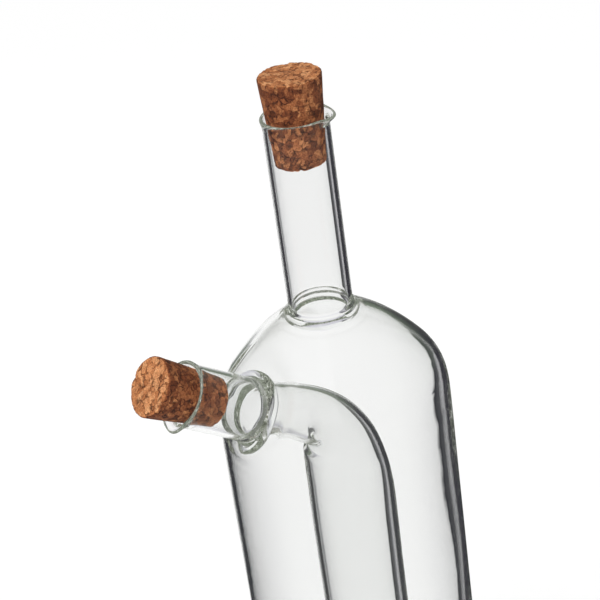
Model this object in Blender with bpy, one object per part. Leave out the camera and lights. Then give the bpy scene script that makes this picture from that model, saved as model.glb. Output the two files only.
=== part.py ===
# Oil and vinegar cruet: a glass bottle for oil, a bent flask for vinegar fused inside it, and two corks.
# Metres, +Z up. The origin is the centre of the flat underside, and the side spout points towards -X.
import math

import bmesh
import bpy
from mathutils import Vector

# Outer bottle
BODY_RADIUS = 0.0390
BODY_WALL = 0.0019
BASE_THICKNESS = 0.0040
HEEL_RADIUS = 0.0070
NECK_BASE_HEIGHT = 0.1920
SHOULDER_DROP = 0.0303
SHOULDER_ARC_RADIUS = 0.0180
DOME_RADIUS = 0.0740
SAG_DEPTH = 0.0022
SAG_DROP = 0.0190
SAG_HALF_HEIGHT = 0.0260

# Top neck, and the bead of glass at its foot
NECK_RADIUS = 0.01055
NECK_WALL = 0.0013
NECK_LENGTH = 0.0690
BEAD_RADIUS = 0.0125
BEAD_HEIGHT = 0.0018
BEAD_SEAT_DROP = 0.0010

# Rim and pouring lip, alike on both necks
RIM_FLARE = 0.0005
HALFWAY_FLARE_SHARE = 0.35
FLARE_HEIGHT = 0.0036
LIP_REACH = 0.0019
LIP_DROOP = 0.0006
LIP_HALF_ANGLE = math.radians(42)
TOP_LIP_ANGLE = math.radians(-46)
SIDE_LIP_ANGLE = math.radians(190)

# Side neck, on the spout axis, which leaves the shoulder at a slant
SPOUT_ANGLE = math.radians(35.6)
SPOUT_INSET = 0.0066
SPOUT_DROP = 0.0234
SIDE_NECK_RADIUS = 0.01036
SIDE_RIM_REACH = 0.0283

# Collar: the flat that the shoulder gets round it, the sleeve through the wall, and the bead outside
FLAT_RADIUS = 0.0140
FLAT_FADE = 0.0110
FLAT_LEVEL = -0.0016
OUTWARD_FADE = 0.0050
THROAT_RADIUS = 0.0083
SLEEVE_RADIUS = 0.0097
SLEEVE_DEPTH = 0.0042
COLLAR_RADIUS = 0.0132
COLLAR_HEIGHT = 0.0030
COLLAR_FILLET_SHARE = 1.15
COLLAR_ROUND_END = math.radians(108)
COLLAR_NECK_REACH = 0.0062
TAIL_REACH = 0.0013
TAIL_HALF_ANGLE = math.radians(34)
TAIL_ANGLE = math.radians(208)

# Inner flask: the chamber, the branch up to the collar, and the fold on the inside of the bend
FLASK_OFFSET = 0.0020
FLASK_RADIUS = 0.01468
FLASK_WALL = 0.0017
FLASK_LIFT = 0.0170
BRANCH_HALF_WIDTH = 0.0077
BRANCH_NARROWING_SHARE = 0.25
CHAMBER_START_SHARE = 0.20
ELBOW_END_DROP = 0.0810
ELBOW_REACH = 0.0455
ELBOW_FALL = 0.0170
ELBOW_TILT = math.radians(-19)
FOLD_DROP = 0.0488
FOLD_RADIUS = 0.0018
FOLD_RIDGE = 0.0012
RIDGE_PLACE_SHARE = 0.45
RIDGE_SPAN_SHARE = 0.75
FOLD_TURN = math.radians(60)
FOLD_TILT = math.radians(-34)
THROAT_REACH = 0.0090
THROAT_TILT = math.radians(12)

# Corks
TOP_CORK_LENGTH = 0.0290
SIDE_CORK_LENGTH = 0.0252
CORK_BOTTOM_RADIUS = 0.0081
CORK_TAPER_SHARE = 0.070
CORK_CHAMFER = 0.0006

# Fits
FUSED_GAP = 0.0003
CORK_CLEARANCE = 0.0003
CUT_OVERRUN = 0.0100
MERGE_DISTANCE = 0.00001

# Facets
BODY_SIDES = 48
NECK_SIDES = 40
FLASK_SIDES = 28
CORK_SIDES = 36
OUTER_HEEL_STEPS = 5
INNER_HEEL_STEPS = 4
WALL_STEPS = 3
TIGHT_ARC_STEPS = 7
DOME_STEPS = 11
BEAD_STEPS = 8
RIM_STEPS = 6
CURVE_STEPS = 120
CREST_STEPS = 16
HOLLOW_STEPS = 8
FLOOR_STEPS = 40
FLOOR_RINGS = 7
FOLD_RINGS = 11
WALL_RINGS = 4
BOTTOM_RINGS = 6
SHARP_ANGLE = math.radians(40)

# The spout axis: its frame has the origin on the axis at the collar, Z out along the spout,
# X up across the axis and Y to the bottle's side.
SPOUT_ORIGIN = Vector((SPOUT_INSET - BODY_RADIUS, 0, NECK_BASE_HEIGHT - SPOUT_DROP))
SPOUT_OUT = Vector((-math.cos(SPOUT_ANGLE), 0, math.sin(SPOUT_ANGLE)))
SPOUT_UP = Vector((math.sin(SPOUT_ANGLE), 0, math.cos(SPOUT_ANGLE)))
SPOUT_SIDE = SPOUT_OUT.cross(SPOUT_UP)


def clear_scene():
    for item in list(bpy.data.objects):
        bpy.data.objects.remove(item, do_unlink=True)


def glass_material(name, tint):
    material = bpy.data.materials.new(name)
    material.use_nodes = True
    shader = material.node_tree.nodes["Principled BSDF"]
    shader.inputs["Base Color"].default_value = (*tint, 1)
    shader.inputs["Roughness"].default_value = 0.03
    shader.inputs["Metallic"].default_value = 0
    shader.inputs["IOR"].default_value = 1.5
    shader.inputs["Transmission Weight"].default_value = 1
    material.diffuse_color = (*tint, 0.35)
    return material


def cork_material(name, colour):
    material = bpy.data.materials.new(name)
    material.use_nodes = True
    shader = material.node_tree.nodes["Principled BSDF"]
    shader.inputs["Base Color"].default_value = (*colour, 1)
    shader.inputs["Roughness"].default_value = 0.85
    shader.inputs["Metallic"].default_value = 0
    material.diffuse_color = (*colour, 1)
    return material


def smooth_step(share):
    share = min(max(share, 0), 1)
    return share * share * (3 - 2 * share)


def bump(angle, centre, half_angle):
    # 1 at the centre angle, falling smoothly to 0 at half_angle either side
    away = abs((angle - centre + math.pi) % (2 * math.pi) - math.pi)
    return 1 - smooth_step(away / half_angle)


def arc(centre, radius, start, end, steps):
    # points of an arc from one angle to another, both ends included
    points = []
    for step in range(steps + 1):
        angle = start + (end - start) * step / steps
        points.append((centre[0] + radius * math.cos(angle), centre[1] + radius * math.sin(angle)))
    return points


def bezier(p0, p1, p2, p3, steps):
    points = []
    for step in range(steps + 1):
        t = step / steps
        u = 1 - t
        weights = (u * u * u, 3 * u * u * t, 3 * u * t * t, t * t * t)
        x = sum(w * p[0] for w, p in zip(weights, (p0, p1, p2, p3)))
        z = sum(w * p[1] for w, p in zip(weights, (p0, p1, p2, p3)))
        points.append((x, z))
    return points


def resample(points, count):
    # the same line with count + 1 points at even spacing
    lengths = [0]
    for a, b in zip(points, points[1:]):
        lengths.append(lengths[-1] + math.dist(a, b))
    result = []
    for step in range(count + 1):
        target = lengths[-1] * step / count
        index = 0
        while index < len(points) - 2 and lengths[index + 1] < target:
            index += 1
        span = lengths[index + 1] - lengths[index]
        share = (target - lengths[index]) / span
        a, b = points[index], points[index + 1]
        result.append((a[0] + (b[0] - a[0]) * share, a[1] + (b[1] - a[1]) * share))
    return result


def circle_meeting(centre_a, radius_a, point_b, radius_b):
    # the point at radius_a from centre_a and radius_b from point_b, on the side away from +X
    gap = math.dist(centre_a, point_b)
    along = (radius_a ** 2 - radius_b ** 2 + gap ** 2) / (2 * gap)
    across = math.sqrt(radius_a ** 2 - along ** 2)
    ux, uz = (point_b[0] - centre_a[0]) / gap, (point_b[1] - centre_a[1]) / gap
    return (centre_a[0] + ux * along - uz * across, centre_a[1] + uz * along + ux * across)


def shoulder_arcs():
    # the shoulder's tight arc and the dome's wide arc, which meet tangentially
    tight = (BODY_RADIUS - SHOULDER_ARC_RADIUS, NECK_BASE_HEIGHT - SHOULDER_DROP)
    top = (BEAD_RADIUS, NECK_BASE_HEIGHT)
    wide = circle_meeting(tight, DOME_RADIUS - SHOULDER_ARC_RADIUS, top, DOME_RADIUS)
    meet = math.atan2(tight[1] - wide[1], tight[0] - wide[0])
    return tight, wide, meet


def shoulder_profile(inset):
    # from the top of the straight wall, where the sag begins, up to the seat of the neck's bead
    tight, wide, meet = shoulder_arcs()
    sag_start = NECK_BASE_HEIGHT - SAG_DROP - SAG_HALF_HEIGHT
    rise = (tight[1] - sag_start) / WALL_STEPS
    wide_radius = DOME_RADIUS - inset
    seat = NECK_BASE_HEIGHT - BEAD_SEAT_DROP
    end = math.asin((seat - wide[1]) / wide_radius)
    points = [(BODY_RADIUS - inset, sag_start + rise * step) for step in range(WALL_STEPS)]
    points += arc(tight, SHOULDER_ARC_RADIUS - inset, 0, meet, TIGHT_ARC_STEPS)
    points += arc(wide, wide_radius, meet, end, DOME_STEPS)[1:]
    return points


def revolved(name, profile, sides, closed, material):
    # a solid turned round the Z axis from points (radius, height), sides facets all round
    mesh = bpy.data.meshes.new(name)
    bm = bmesh.new()
    verts = [bm.verts.new((radius, 0, height)) for radius, height in profile]
    pairs = list(zip(verts, verts[1:]))
    if closed:
        pairs.append((verts[-1], verts[0]))
    edges = [bm.edges.new(pair) for pair in pairs]
    bmesh.ops.spin(bm, geom=verts + edges, cent=(0, 0, 0), axis=(0, 0, 1), dvec=(0, 0, 0),
                   angle=2 * math.pi, steps=sides, use_merge=True)
    bmesh.ops.remove_doubles(bm, verts=bm.verts, dist=MERGE_DISTANCE)
    bmesh.ops.recalc_face_normals(bm, faces=bm.faces)
    bm.to_mesh(mesh)
    bm.free()
    return place_object(name, mesh, material)


def place_object(name, mesh, material):
    mesh.materials.append(material)
    mesh.shade_smooth()
    mesh.set_sharp_from_angle(angle=SHARP_ANGLE)
    item = bpy.data.objects.new(name, mesh)
    bpy.context.collection.objects.link(item)
    return item


def turn_to_spout(item, reach):
    # moves a piece made round +Z onto the spout axis, at a distance out from the collar
    place = SPOUT_ORIGIN + SPOUT_OUT * reach
    columns = (SPOUT_UP, SPOUT_SIDE, SPOUT_OUT, place)
    for row in range(3):
        for column in range(4):
            item.matrix_world[row][column] = columns[column][row]


def shape_shoulder(mesh):
    # what the flame does to the turned shoulder when the side neck goes on
    for vertex in mesh.vertices:
        inside = surface_depth(vertex.co) > BODY_WALL / 2
        sag_towards_spout(vertex)
        flatten_at_collar(vertex, inside)


def sag_towards_spout(vertex):
    # the shoulder sinks in a little on the spout's side
    side = (1 - vertex.co.xy.normalized().x) / 2 if vertex.co.xy.length else 0
    away = abs(NECK_BASE_HEIGHT - SAG_DROP - vertex.co.z)
    sag = SAG_DEPTH * side * (1 - smooth_step(away / SAG_HALF_HEIGHT))
    vertex.co.xy -= vertex.co.xy.normalized() * sag


def flatten_at_collar(vertex, inside):
    # the hot wall is pressed flat round the side neck, on both its faces
    offset = vertex.co - SPOUT_ORIGIN
    reach = offset.dot(SPOUT_OUT)
    across = (offset - SPOUT_OUT * reach).length
    if abs(reach) < FLAT_RADIUS:
        pull = FLAT_LEVEL - (BODY_WALL if inside else 0) - reach
        start, fade = (FLAT_RADIUS, FLAT_FADE) if pull < 0 else (SLEEVE_RADIUS, OUTWARD_FADE)
        vertex.co += SPOUT_OUT * pull * (1 - smooth_step((across - start) / fade))


def surface_depth(point):
    # how far a point lies inside the turned outer surface
    tight, wide, meet = shoulder_arcs()
    spot = (math.hypot(point.x, point.y), point.z)
    if spot[1] < tight[1]:
        return BODY_RADIUS - spot[0]
    if math.atan2(spot[1] - tight[1], spot[0] - tight[0]) < meet:
        return SHOULDER_ARC_RADIUS - math.dist(spot, tight)
    return DOME_RADIUS - math.dist(spot, wide)


def cut_hole(item, radius, low, high):
    # a round hole through the wall along the spout axis
    mesh = bpy.data.meshes.new("collar_cutter")
    bm = bmesh.new()
    bmesh.ops.create_cone(bm, cap_ends=True, segments=NECK_SIDES, radius1=radius, radius2=radius,
                          depth=high - low)
    bm.to_mesh(mesh)
    bm.free()
    cutter = bpy.data.objects.new("collar_cutter", mesh)
    bpy.context.collection.objects.link(cutter)
    turn_to_spout(cutter, (high + low) / 2)
    cutter.hide_render = True
    cutter.display_type = "WIRE"
    hole = item.modifiers.new("collar_hole", "BOOLEAN")
    hole.operation = "DIFFERENCE"
    hole.solver = "EXACT"
    hole.object = cutter


def build_outer_bottle():
    outer = [(0, 0)]
    outer += arc((BODY_RADIUS - HEEL_RADIUS, HEEL_RADIUS), HEEL_RADIUS, -math.pi / 2, 0,
                 OUTER_HEEL_STEPS)
    outer += shoulder_profile(0)
    inner_heel = HEEL_RADIUS - BODY_WALL
    inner = [(0, BASE_THICKNESS)]
    inner += arc((BODY_RADIUS - HEEL_RADIUS, BASE_THICKNESS + inner_heel), inner_heel,
                 -math.pi / 2, 0, INNER_HEEL_STEPS)
    inner += shoulder_profile(BODY_WALL)
    profile = outer + inner[::-1]
    bottle = revolved("outer_bottle", profile, BODY_SIDES, False,
                      glass_material("bottle_glass", (0.93, 0.97, 0.94)))
    shape_shoulder(bottle.data)
    cut_hole(bottle, SLEEVE_RADIUS + FUSED_GAP, -CUT_OVERRUN, CUT_OVERRUN)
    return bottle


def build_neck_weld_ring():
    # the bead sits on the shoulder's seat and carries the neck
    bore = NECK_RADIUS - NECK_WALL
    seat = NECK_BASE_HEIGHT - BEAD_SEAT_DROP + FUSED_GAP
    top = NECK_BASE_HEIGHT + BEAD_HEIGHT
    round_radius = (top - seat) / 2
    profile = [(bore, seat)]
    profile += arc((BEAD_RADIUS - round_radius, seat + round_radius), round_radius,
                   -math.pi / 2, math.pi / 2, BEAD_STEPS)
    profile += [(NECK_RADIUS, top), (bore, top)]
    return revolved("neck_weld_ring", profile, NECK_SIDES, True,
                    glass_material("bead_glass", (0.88, 0.94, 0.89)))


def neck_profile(radius, wall, length):
    # a straight tube whose rim flares a little and is rounded by the flame
    bore = radius - wall
    flare_start = length - FLARE_HEIGHT
    half = wall / 2
    rim = (radius + RIM_FLARE - half, length - half)
    halfway = (RIM_FLARE * HALFWAY_FLARE_SHARE, length - FLARE_HEIGHT / 2)
    points = [(radius, 0), (radius, length / 2), (radius, flare_start)]
    points += [(radius + halfway[0], halfway[1])]
    points += arc(rim, half, 0, math.pi, RIM_STEPS)
    points += [(bore + halfway[0], halfway[1]), (bore, flare_start)]
    points += [(bore, length / 2), (bore, 0)]
    return points


def pull_lip(mesh, length, lip_angle):
    # one side of the rim is drawn out and down for pouring
    flare_start = length - FLARE_HEIGHT
    for vertex in mesh.vertices:
        rise = smooth_step((vertex.co.z - flare_start) / FLARE_HEIGHT)
        if rise == 0:
            continue
        angle = math.atan2(vertex.co.y, vertex.co.x)
        pull = rise * bump(angle, lip_angle, LIP_HALF_ANGLE)
        outward = Vector((math.cos(angle), math.sin(angle), 0))
        vertex.co += outward * LIP_REACH * pull
        vertex.co.z -= LIP_DROOP * pull


def build_neck(name, radius, length, lip_angle, tint):
    neck = revolved(name, neck_profile(radius, NECK_WALL, length), NECK_SIDES, True,
                    glass_material(name + "_glass", tint))
    pull_lip(neck.data, length, lip_angle)
    return neck


def build_top_neck():
    foot = NECK_BASE_HEIGHT + BEAD_HEIGHT + FUSED_GAP
    length = NECK_BASE_HEIGHT + NECK_LENGTH - foot
    neck = build_neck("top_neck", NECK_RADIUS, length, TOP_LIP_ANGLE, (0.95, 0.98, 0.96))
    neck.location.z = foot
    return neck


def build_side_neck():
    foot = COLLAR_NECK_REACH + FUSED_GAP
    neck = build_neck("side_neck", SIDE_NECK_RADIUS, SIDE_RIM_REACH - foot, SIDE_LIP_ANGLE,
                      (0.95, 0.98, 0.95))
    turn_to_spout(neck, foot)
    return neck


def build_side_collar():
    # a sleeve through the wall, a bead outside on the shoulder's flat, and a stub that carries the neck
    bore = SIDE_NECK_RADIUS - NECK_WALL
    seat = FLAT_LEVEL + FUSED_GAP
    half = COLLAR_HEIGHT / 2
    bead = (COLLAR_RADIUS - half, seat + half)
    profile = [(THROAT_RADIUS, -SLEEVE_DEPTH), (SLEEVE_RADIUS, -SLEEVE_DEPTH), (SLEEVE_RADIUS, seat)]
    profile += arc(bead, half, -math.pi / 2, COLLAR_ROUND_END, BEAD_STEPS)
    profile += [(SIDE_NECK_RADIUS, seat + COLLAR_HEIGHT * COLLAR_FILLET_SHARE)]
    profile += [(SIDE_NECK_RADIUS, COLLAR_NECK_REACH)]
    profile += [(bore, COLLAR_NECK_REACH), (bore, half), (THROAT_RADIUS, seat)]
    collar = revolved("side_collar", profile, NECK_SIDES, True,
                      glass_material("collar_glass", (0.86, 0.93, 0.87)))
    for vertex in collar.data.vertices:
        outside = vertex.co.xy.length - SIDE_NECK_RADIUS
        if outside > FUSED_GAP:
            angle = math.atan2(vertex.co.y, vertex.co.x)
            share = outside / (COLLAR_RADIUS - SIDE_NECK_RADIUS)
            pull = bump(angle, TAIL_ANGLE, TAIL_HALF_ANGLE) * share
            vertex.co.xy += vertex.co.xy.normalized() * TAIL_REACH * pull
    turn_to_spout(collar, 0)
    return collar


def flask_edges():
    # the bend's outer edge line, and the three stretches of its inner one, in the middle plane as (x, z)
    mouth = SPOUT_ORIGIN - SPOUT_OUT * (SLEEVE_DEPTH + FUSED_GAP)
    top = (mouth + SPOUT_UP * SLEEVE_RADIUS).xz
    low = (mouth - SPOUT_UP * SLEEVE_RADIUS).xz
    right = FLASK_OFFSET + FLASK_RADIUS
    left = FLASK_OFFSET - FLASK_RADIUS
    bend_end = NECK_BASE_HEIGHT - ELBOW_END_DROP
    leave = Vector((math.cos(ELBOW_TILT), math.sin(ELBOW_TILT))) * ELBOW_REACH
    outer = bezier(top, top + leave, (right, bend_end + ELBOW_FALL), (right, bend_end),
                   CURVE_STEPS)
    fold = (left, NECK_BASE_HEIGHT - FOLD_DROP)
    crest = arc(fold, FOLD_RADIUS, FOLD_TILT + math.pi / 2, -FOLD_TURN, CREST_STEPS)
    return_radius = FOLD_RADIUS * math.cos(FOLD_TURN) / (1 - math.cos(FOLD_TURN))
    reach = FOLD_RADIUS + return_radius
    back = (left + reach * math.cos(FOLD_TURN), fold[1] - reach * math.sin(FOLD_TURN))
    hollow = arc(back, return_radius, math.pi - FOLD_TURN, math.pi, HOLLOW_STEPS)
    enter = Vector((math.cos(THROAT_TILT), math.sin(THROAT_TILT))) * THROAT_REACH
    meet = Vector((math.cos(FOLD_TILT), math.sin(FOLD_TILT))) * THROAT_REACH
    floor = bezier(low, low + enter, Vector(crest[0]) - meet, crest[0], FLOOR_STEPS)
    return outer, floor, crest + hollow[1:], [hollow[-1], (left, bend_end)]


def flask_rings(inset):
    # rings down one skin as (centre, half of the section in the middle plane, half width across it)
    outer, floor, fold, wall = flask_edges()
    inner = resample(floor, FLOOR_RINGS)
    inner += resample(fold, FOLD_RINGS)[1:]
    inner += resample(wall, WALL_RINGS)[1:]
    last = len(inner) - 1
    rings = []
    for index, (near, far) in enumerate(zip(inner, resample(outer, last))):
        share = index / last
        if inset:
            near = Vector(near).lerp(far, ridge_height(index) / math.dist(near, far))
        narrowed = smooth_step(share / BRANCH_NARROWING_SHARE)
        widened = smooth_step((share - CHAMBER_START_SHARE) / (1 - CHAMBER_START_SHARE))
        width = SLEEVE_RADIUS + (BRANCH_HALF_WIDTH - SLEEVE_RADIUS) * narrowed
        width += (FLASK_RADIUS - width) * widened
        centre = Vector(((near[0] + far[0]) / 2, 0, (near[1] + far[1]) / 2))
        across = Vector((far[0] - near[0], 0, far[1] - near[1])) / 2
        rings.append((centre, across * (1 - inset / across.length), width - inset))
    return rings


def ridge_height(index):
    # the glass gathers on the fold, as a ridge inside
    place = FLOOR_RINGS + FOLD_RINGS * RIDGE_PLACE_SHARE
    return FOLD_RIDGE * (1 - smooth_step(abs(index - place) / (FOLD_RINGS * RIDGE_SPAN_SHARE)))


def round_bottom(radius):
    # rings of the flask's round bottom, from its widest one down
    rings = []
    for step in range(BOTTOM_RINGS):
        angle = math.pi / 2 * step / BOTTOM_RINGS
        height = FLASK_LIFT + FLASK_RADIUS - radius * math.sin(angle)
        across = Vector((radius * math.cos(angle), 0, 0))
        rings.append((Vector((FLASK_OFFSET, 0, height)), across, across.length))
    return rings


def build_inner_flask():
    mesh = bpy.data.meshes.new("inner_flask")
    bm = bmesh.new()
    skins = []
    for inset in (0, FLASK_WALL):
        loops = []
        for centre, across, width in flask_rings(inset) + round_bottom(FLASK_RADIUS - inset):
            loop = []
            for side in range(FLASK_SIDES):
                angle = 2 * math.pi * side / FLASK_SIDES
                sideways = Vector((0, width * math.sin(angle), 0))
                loop.append(bm.verts.new(centre + across * math.cos(angle) + sideways))
            loops.append(loop)
        skins.append(loops)
    for loops in skins:
        for upper, lower in zip(loops, loops[1:]):
            join_loops(bm, upper, lower)
        bm.faces.new(loops[-1])
    join_loops(bm, skins[0][0], skins[1][0])
    bmesh.ops.recalc_face_normals(bm, faces=bm.faces)
    bm.to_mesh(mesh)
    bm.free()
    return place_object("inner_flask", mesh, glass_material("flask_glass", (0.94, 0.97, 0.95)))


def join_loops(bm, upper, lower):
    for side in range(len(upper)):
        after = (side + 1) % len(upper)
        bm.faces.new((upper[side], lower[side], lower[after], upper[after]))


def cork_seat_depth(neck_radius):
    # how far the cork goes in before it nearly meets the mouth of the bore
    bore = neck_radius - NECK_WALL
    return (bore - CORK_CLEARANCE - CORK_BOTTOM_RADIUS) / CORK_TAPER_SHARE


def build_cork(name, length, colour):
    top_radius = CORK_BOTTOM_RADIUS + CORK_TAPER_SHARE * length
    profile = [(0, 0), (CORK_BOTTOM_RADIUS - CORK_CHAMFER, 0), (CORK_BOTTOM_RADIUS, CORK_CHAMFER)]
    profile += [(top_radius, length - CORK_CHAMFER), (top_radius - CORK_CHAMFER, length), (0, length)]
    return revolved(name, profile, CORK_SIDES, False, cork_material(name + "_bark", colour))


def build_top_cork():
    cork = build_cork("top_cork", TOP_CORK_LENGTH, (0.52, 0.27, 0.12))
    mouth = NECK_BASE_HEIGHT + NECK_LENGTH - FLARE_HEIGHT
    cork.location.z = mouth - cork_seat_depth(NECK_RADIUS)
    return cork


def build_side_cork():
    cork = build_cork("side_cork", SIDE_CORK_LENGTH, (0.50, 0.25, 0.11))
    mouth = SIDE_RIM_REACH - FLARE_HEIGHT
    turn_to_spout(cork, mouth - cork_seat_depth(SIDE_NECK_RADIUS))
    return cork


clear_scene()
build_outer_bottle()
build_neck_weld_ring()
build_top_neck()
build_side_collar()
build_side_neck()
build_inner_flask()
build_top_cork()
build_side_cork()
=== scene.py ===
import math

import bmesh
import bpy
from mathutils import Matrix, Vector, geometry, noise


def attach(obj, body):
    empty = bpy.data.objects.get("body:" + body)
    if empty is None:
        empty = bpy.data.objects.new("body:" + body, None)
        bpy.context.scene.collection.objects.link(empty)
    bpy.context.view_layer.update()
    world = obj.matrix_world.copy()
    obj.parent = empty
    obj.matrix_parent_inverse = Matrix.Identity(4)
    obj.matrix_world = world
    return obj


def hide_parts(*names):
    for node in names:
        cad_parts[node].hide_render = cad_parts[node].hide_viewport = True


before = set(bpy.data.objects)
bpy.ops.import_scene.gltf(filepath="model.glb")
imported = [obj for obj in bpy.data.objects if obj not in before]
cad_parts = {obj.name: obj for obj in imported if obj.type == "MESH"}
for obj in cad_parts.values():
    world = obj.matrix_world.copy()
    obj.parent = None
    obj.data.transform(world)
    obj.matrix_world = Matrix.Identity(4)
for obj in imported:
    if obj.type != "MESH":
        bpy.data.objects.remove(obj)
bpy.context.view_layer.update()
print("frame loaded", sorted(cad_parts))


class Wire:
    # a node's output that can be written in sums
    def __init__(self, tree, socket):
        self.tree = tree
        self.socket = socket

    def join(self, operation, first, second):
        node = self.tree.nodes.new("ShaderNodeMath")
        node.operation = operation
        for entry, value in zip(node.inputs, (first, second)):
            feed(self.tree, entry, value)
        return Wire(self.tree, node.outputs[0])

    def __add__(self, other):
        return self.join("ADD", self, other)

    def __radd__(self, other):
        return self.join("ADD", other, self)

    def __sub__(self, other):
        return self.join("SUBTRACT", self, other)

    def __rsub__(self, other):
        return self.join("SUBTRACT", other, self)

    def __mul__(self, other):
        return self.join("MULTIPLY", self, other)

    def __rmul__(self, other):
        return self.join("MULTIPLY", other, self)

    def __truediv__(self, other):
        return self.join("DIVIDE", self, other)


def feed(tree, entry, value):
    if isinstance(value, Wire):
        tree.links.new(value.socket, entry)
    elif entry.type == "RGBA" and len(value) == 3:
        entry.default_value = (*value, 1)
    else:
        entry.default_value = value


class Graph:
    # a node tree and the calls that add to it
    def __init__(self, tree):
        self.tree = tree

    def node(self, kind, settings=None, values=None, output=0):
        node = self.tree.nodes.new("ShaderNode" + kind)
        for name, setting in (settings or {}).items():
            if name == "stops":
                fillRamp(node.color_ramp, setting)
            else:
                setattr(node, name, setting)
        for name, value in (values or {}).items():
            feed(self.tree, node.inputs[name], value)
        return Wire(self.tree, node.outputs[output])

    def ramp(self, factor, stops):
        return self.node("ValToRGB", {"stops": stops}, {"Fac": factor})

    def mix(self, factor, first, second, blend="MIX"):
        return self.node("Mix", {"data_type": "RGBA", "blend_type": blend},
                         {0: factor, 6: first, 7: second}, 2)

    def rays(self, *kinds):
        # one wire for each kind of ray asked for
        source = self.node("LightPath").socket.node
        return [Wire(self.tree, source.outputs[kind]) for kind in kinds]


class Finish(Graph):
    # a material; the Principled shader is there from the start
    def __init__(self, name):
        self.material = bpy.data.materials.new(name)
        self.material.use_nodes = True
        super().__init__(self.material.node_tree)
        self.shader = self.tree.nodes["Principled BSDF"]
        self.output = self.tree.nodes["Material Output"]

    def place(self, move=(0, 0, 0)):
        # the piece's own coordinates, in metres, and moved
        return self.node("Mapping", {}, {"Vector": self.node("TexCoord", output=3), "Location": move})

    def noise(self, spot, scale, detail=3, roughness=0.5, output=0):
        return self.node("TexNoise", {}, {"Vector": spot, "Scale": scale, "Detail": detail,
                                          "Roughness": roughness}, output)

    def cells(self, spot, scale, feature="F1", output=0):
        return self.node("TexVoronoi", {"feature": feature}, {"Vector": spot, "Scale": scale}, output)

    def set(self, **values):
        # values or wires for the Principled shader, its names written without spaces
        for name, value in values.items():
            title = "".join(" " + letter if letter.isupper() else letter for letter in name).strip()
            feed(self.tree, self.shader.inputs[title], value)


def fillRamp(ramp, stops):
    while len(ramp.elements) < len(stops):
        ramp.elements.new(0.5)
    for element, (position, colour) in zip(ramp.elements, stops):
        element.position = position
        element.color = (*colour, 1) if len(colour) == 3 else colour


# The bottle and its spout, in metres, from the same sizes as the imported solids.
body = {
    "radius": 0.0390, "wall": 0.0019, "base": 0.0040, "heel": 0.0070,
    "neckBase": 0.1920, "tightDrop": 0.0303, "tightRadius": 0.0180, "domeRadius": 0.0740,
    "easeHalf": 0.0050, "easeInset": 0.00023,
    "seatDrop": 0.0010, "beadRadius": 0.0125,
    # the ring of glass where the neck was fused on, with a groove under it and a faint one above:
    # radius, height over the neck's foot, steps
    "bead": [(0.01215, -0.00072, 1), (0.01192, -0.00050, 1), (0.01215, -0.00032, 1), (0.01232, 0.00010, 1),
             (0.01250, 0.00065, 2), (0.01228, 0.00125, 2), (0.01175, 0.00168, 2), (0.01112, 0.00182, 2),
             (0.01092, 0.00215, 2), (0.01098, 0.00265, 2), (0.01082, 0.00315, 2)],
    "beadEnd": 0.00380,
    # inside, from the neck's bore out to the dome: how far it opens, and the heights it passes
    "mouthOpen": 0.0003, "mouthTop": 0.0006, "mouthDrops": (0.0010, 0.0023, 0.0030),
    # the shoulder sags towards the side neck, and lies flat or hollow round it
    "sagDepth": 0.0022, "sagDrop": 0.0190, "sagHalf": 0.0260, "sagFrom": 0.12, "sagMargin": 0.0005,
    "flatRadius": 0.0140, "flatFade": 0.0110, "flatLevel": -0.0016, "outwardFade": 0.0075,
    "sides": 176, "crease": 38,
    "steps": {"base": 10, "heel": 10, "innerHeel": 8, "wall": 34, "sag": 7, "ease": 10, "tight": 16,
              "dome": 26},
}
neck = {
    "radius": 0.01055, "wall": 0.00130, "length": 0.0690,
    "flare": 0.0005, "flareHeight": 0.0036, "flareBend": 0.35, "lipReach": 0.0019, "lipDroop": 0.0006,
    "lipHalf": math.radians(42), "lipAngle": math.radians(-46), "lipWithin": 0.02,
    "steps": {"foot": 3, "tube": 44, "flare": 3, "rim": 12},
}
spout = {
    "angle": math.radians(35.6), "origin": Vector((-0.0324, 0, 0.1686)),
    "radius": 0.01036, "reach": 0.0283, "lipAngle": math.radians(190),
    "throat": 0.0083, "sleeve": 0.0097, "depth": 0.0042,
    "cutRadius": 0.0090, "cutDepth": 0.0100, "cutAt": -0.0020,
    "flareBends": ((0.15, 0.0010), (0.5, 0.0020)),
    "sides": 96, "tubeRings": 14,
}
bead = {
    # the collar: radius and height along the spout's axis, from the sleeve out over the bead to the neck
    "sleeve": (-0.0040, -0.0030, -0.0019),
    "outside": [(0.0113, -0.0021), (0.0122, -0.0020), (0.0128, -0.0016), (0.01312, -0.0009),
                (0.0132, -0.0001), (0.01308, 0.0007), (0.0127, 0.0013), (0.0121, 0.0017),
                (0.0114, 0.0019), (0.0108, 0.00215), (0.0105, 0.0026), (0.0104, 0.0033)],
    "neckFrom": 0.0033, "boreTo": 0.0040,
    # inside, how far the bore closes towards the throat at each height
    "inside": [(0.0001, 0.0028), (0.0004, 0.0016)], "throatEdge": (0.0085, 0.0004),
    "throatHeights": (-0.0010, -0.0022, -0.0034), "throatOpen": 0.00005,
    # round the neck: full up to the drawn tail, thin beyond it, then full again
    "radius": 0.0132, "least": 0.16, "rest": math.radians(150), "wake": math.radians(40),
    "tailReach": 0.0014, "tailEnd": math.radians(204), "tailLead": math.radians(8),
    "tailRun": math.radians(62), "tailTip": math.radians(12),
    "band": (-0.0035, 0.0030), "outFrom": 0.0002,
    "groove": 0.0026, "grooveFrom": -0.0005, "grooveAt": 0.30, "grooveHalf": 0.42,
    "wave": 0.00025, "waveScale": 2.2, "waveSeed": 5.1, "shrink": 0.0001,
    "tilt": 0.0002, "tiltScale": 3, "tiltSeed": 1.7,
}
spoutOut = Vector((-math.cos(spout["angle"]), 0, math.sin(spout["angle"])))
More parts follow.
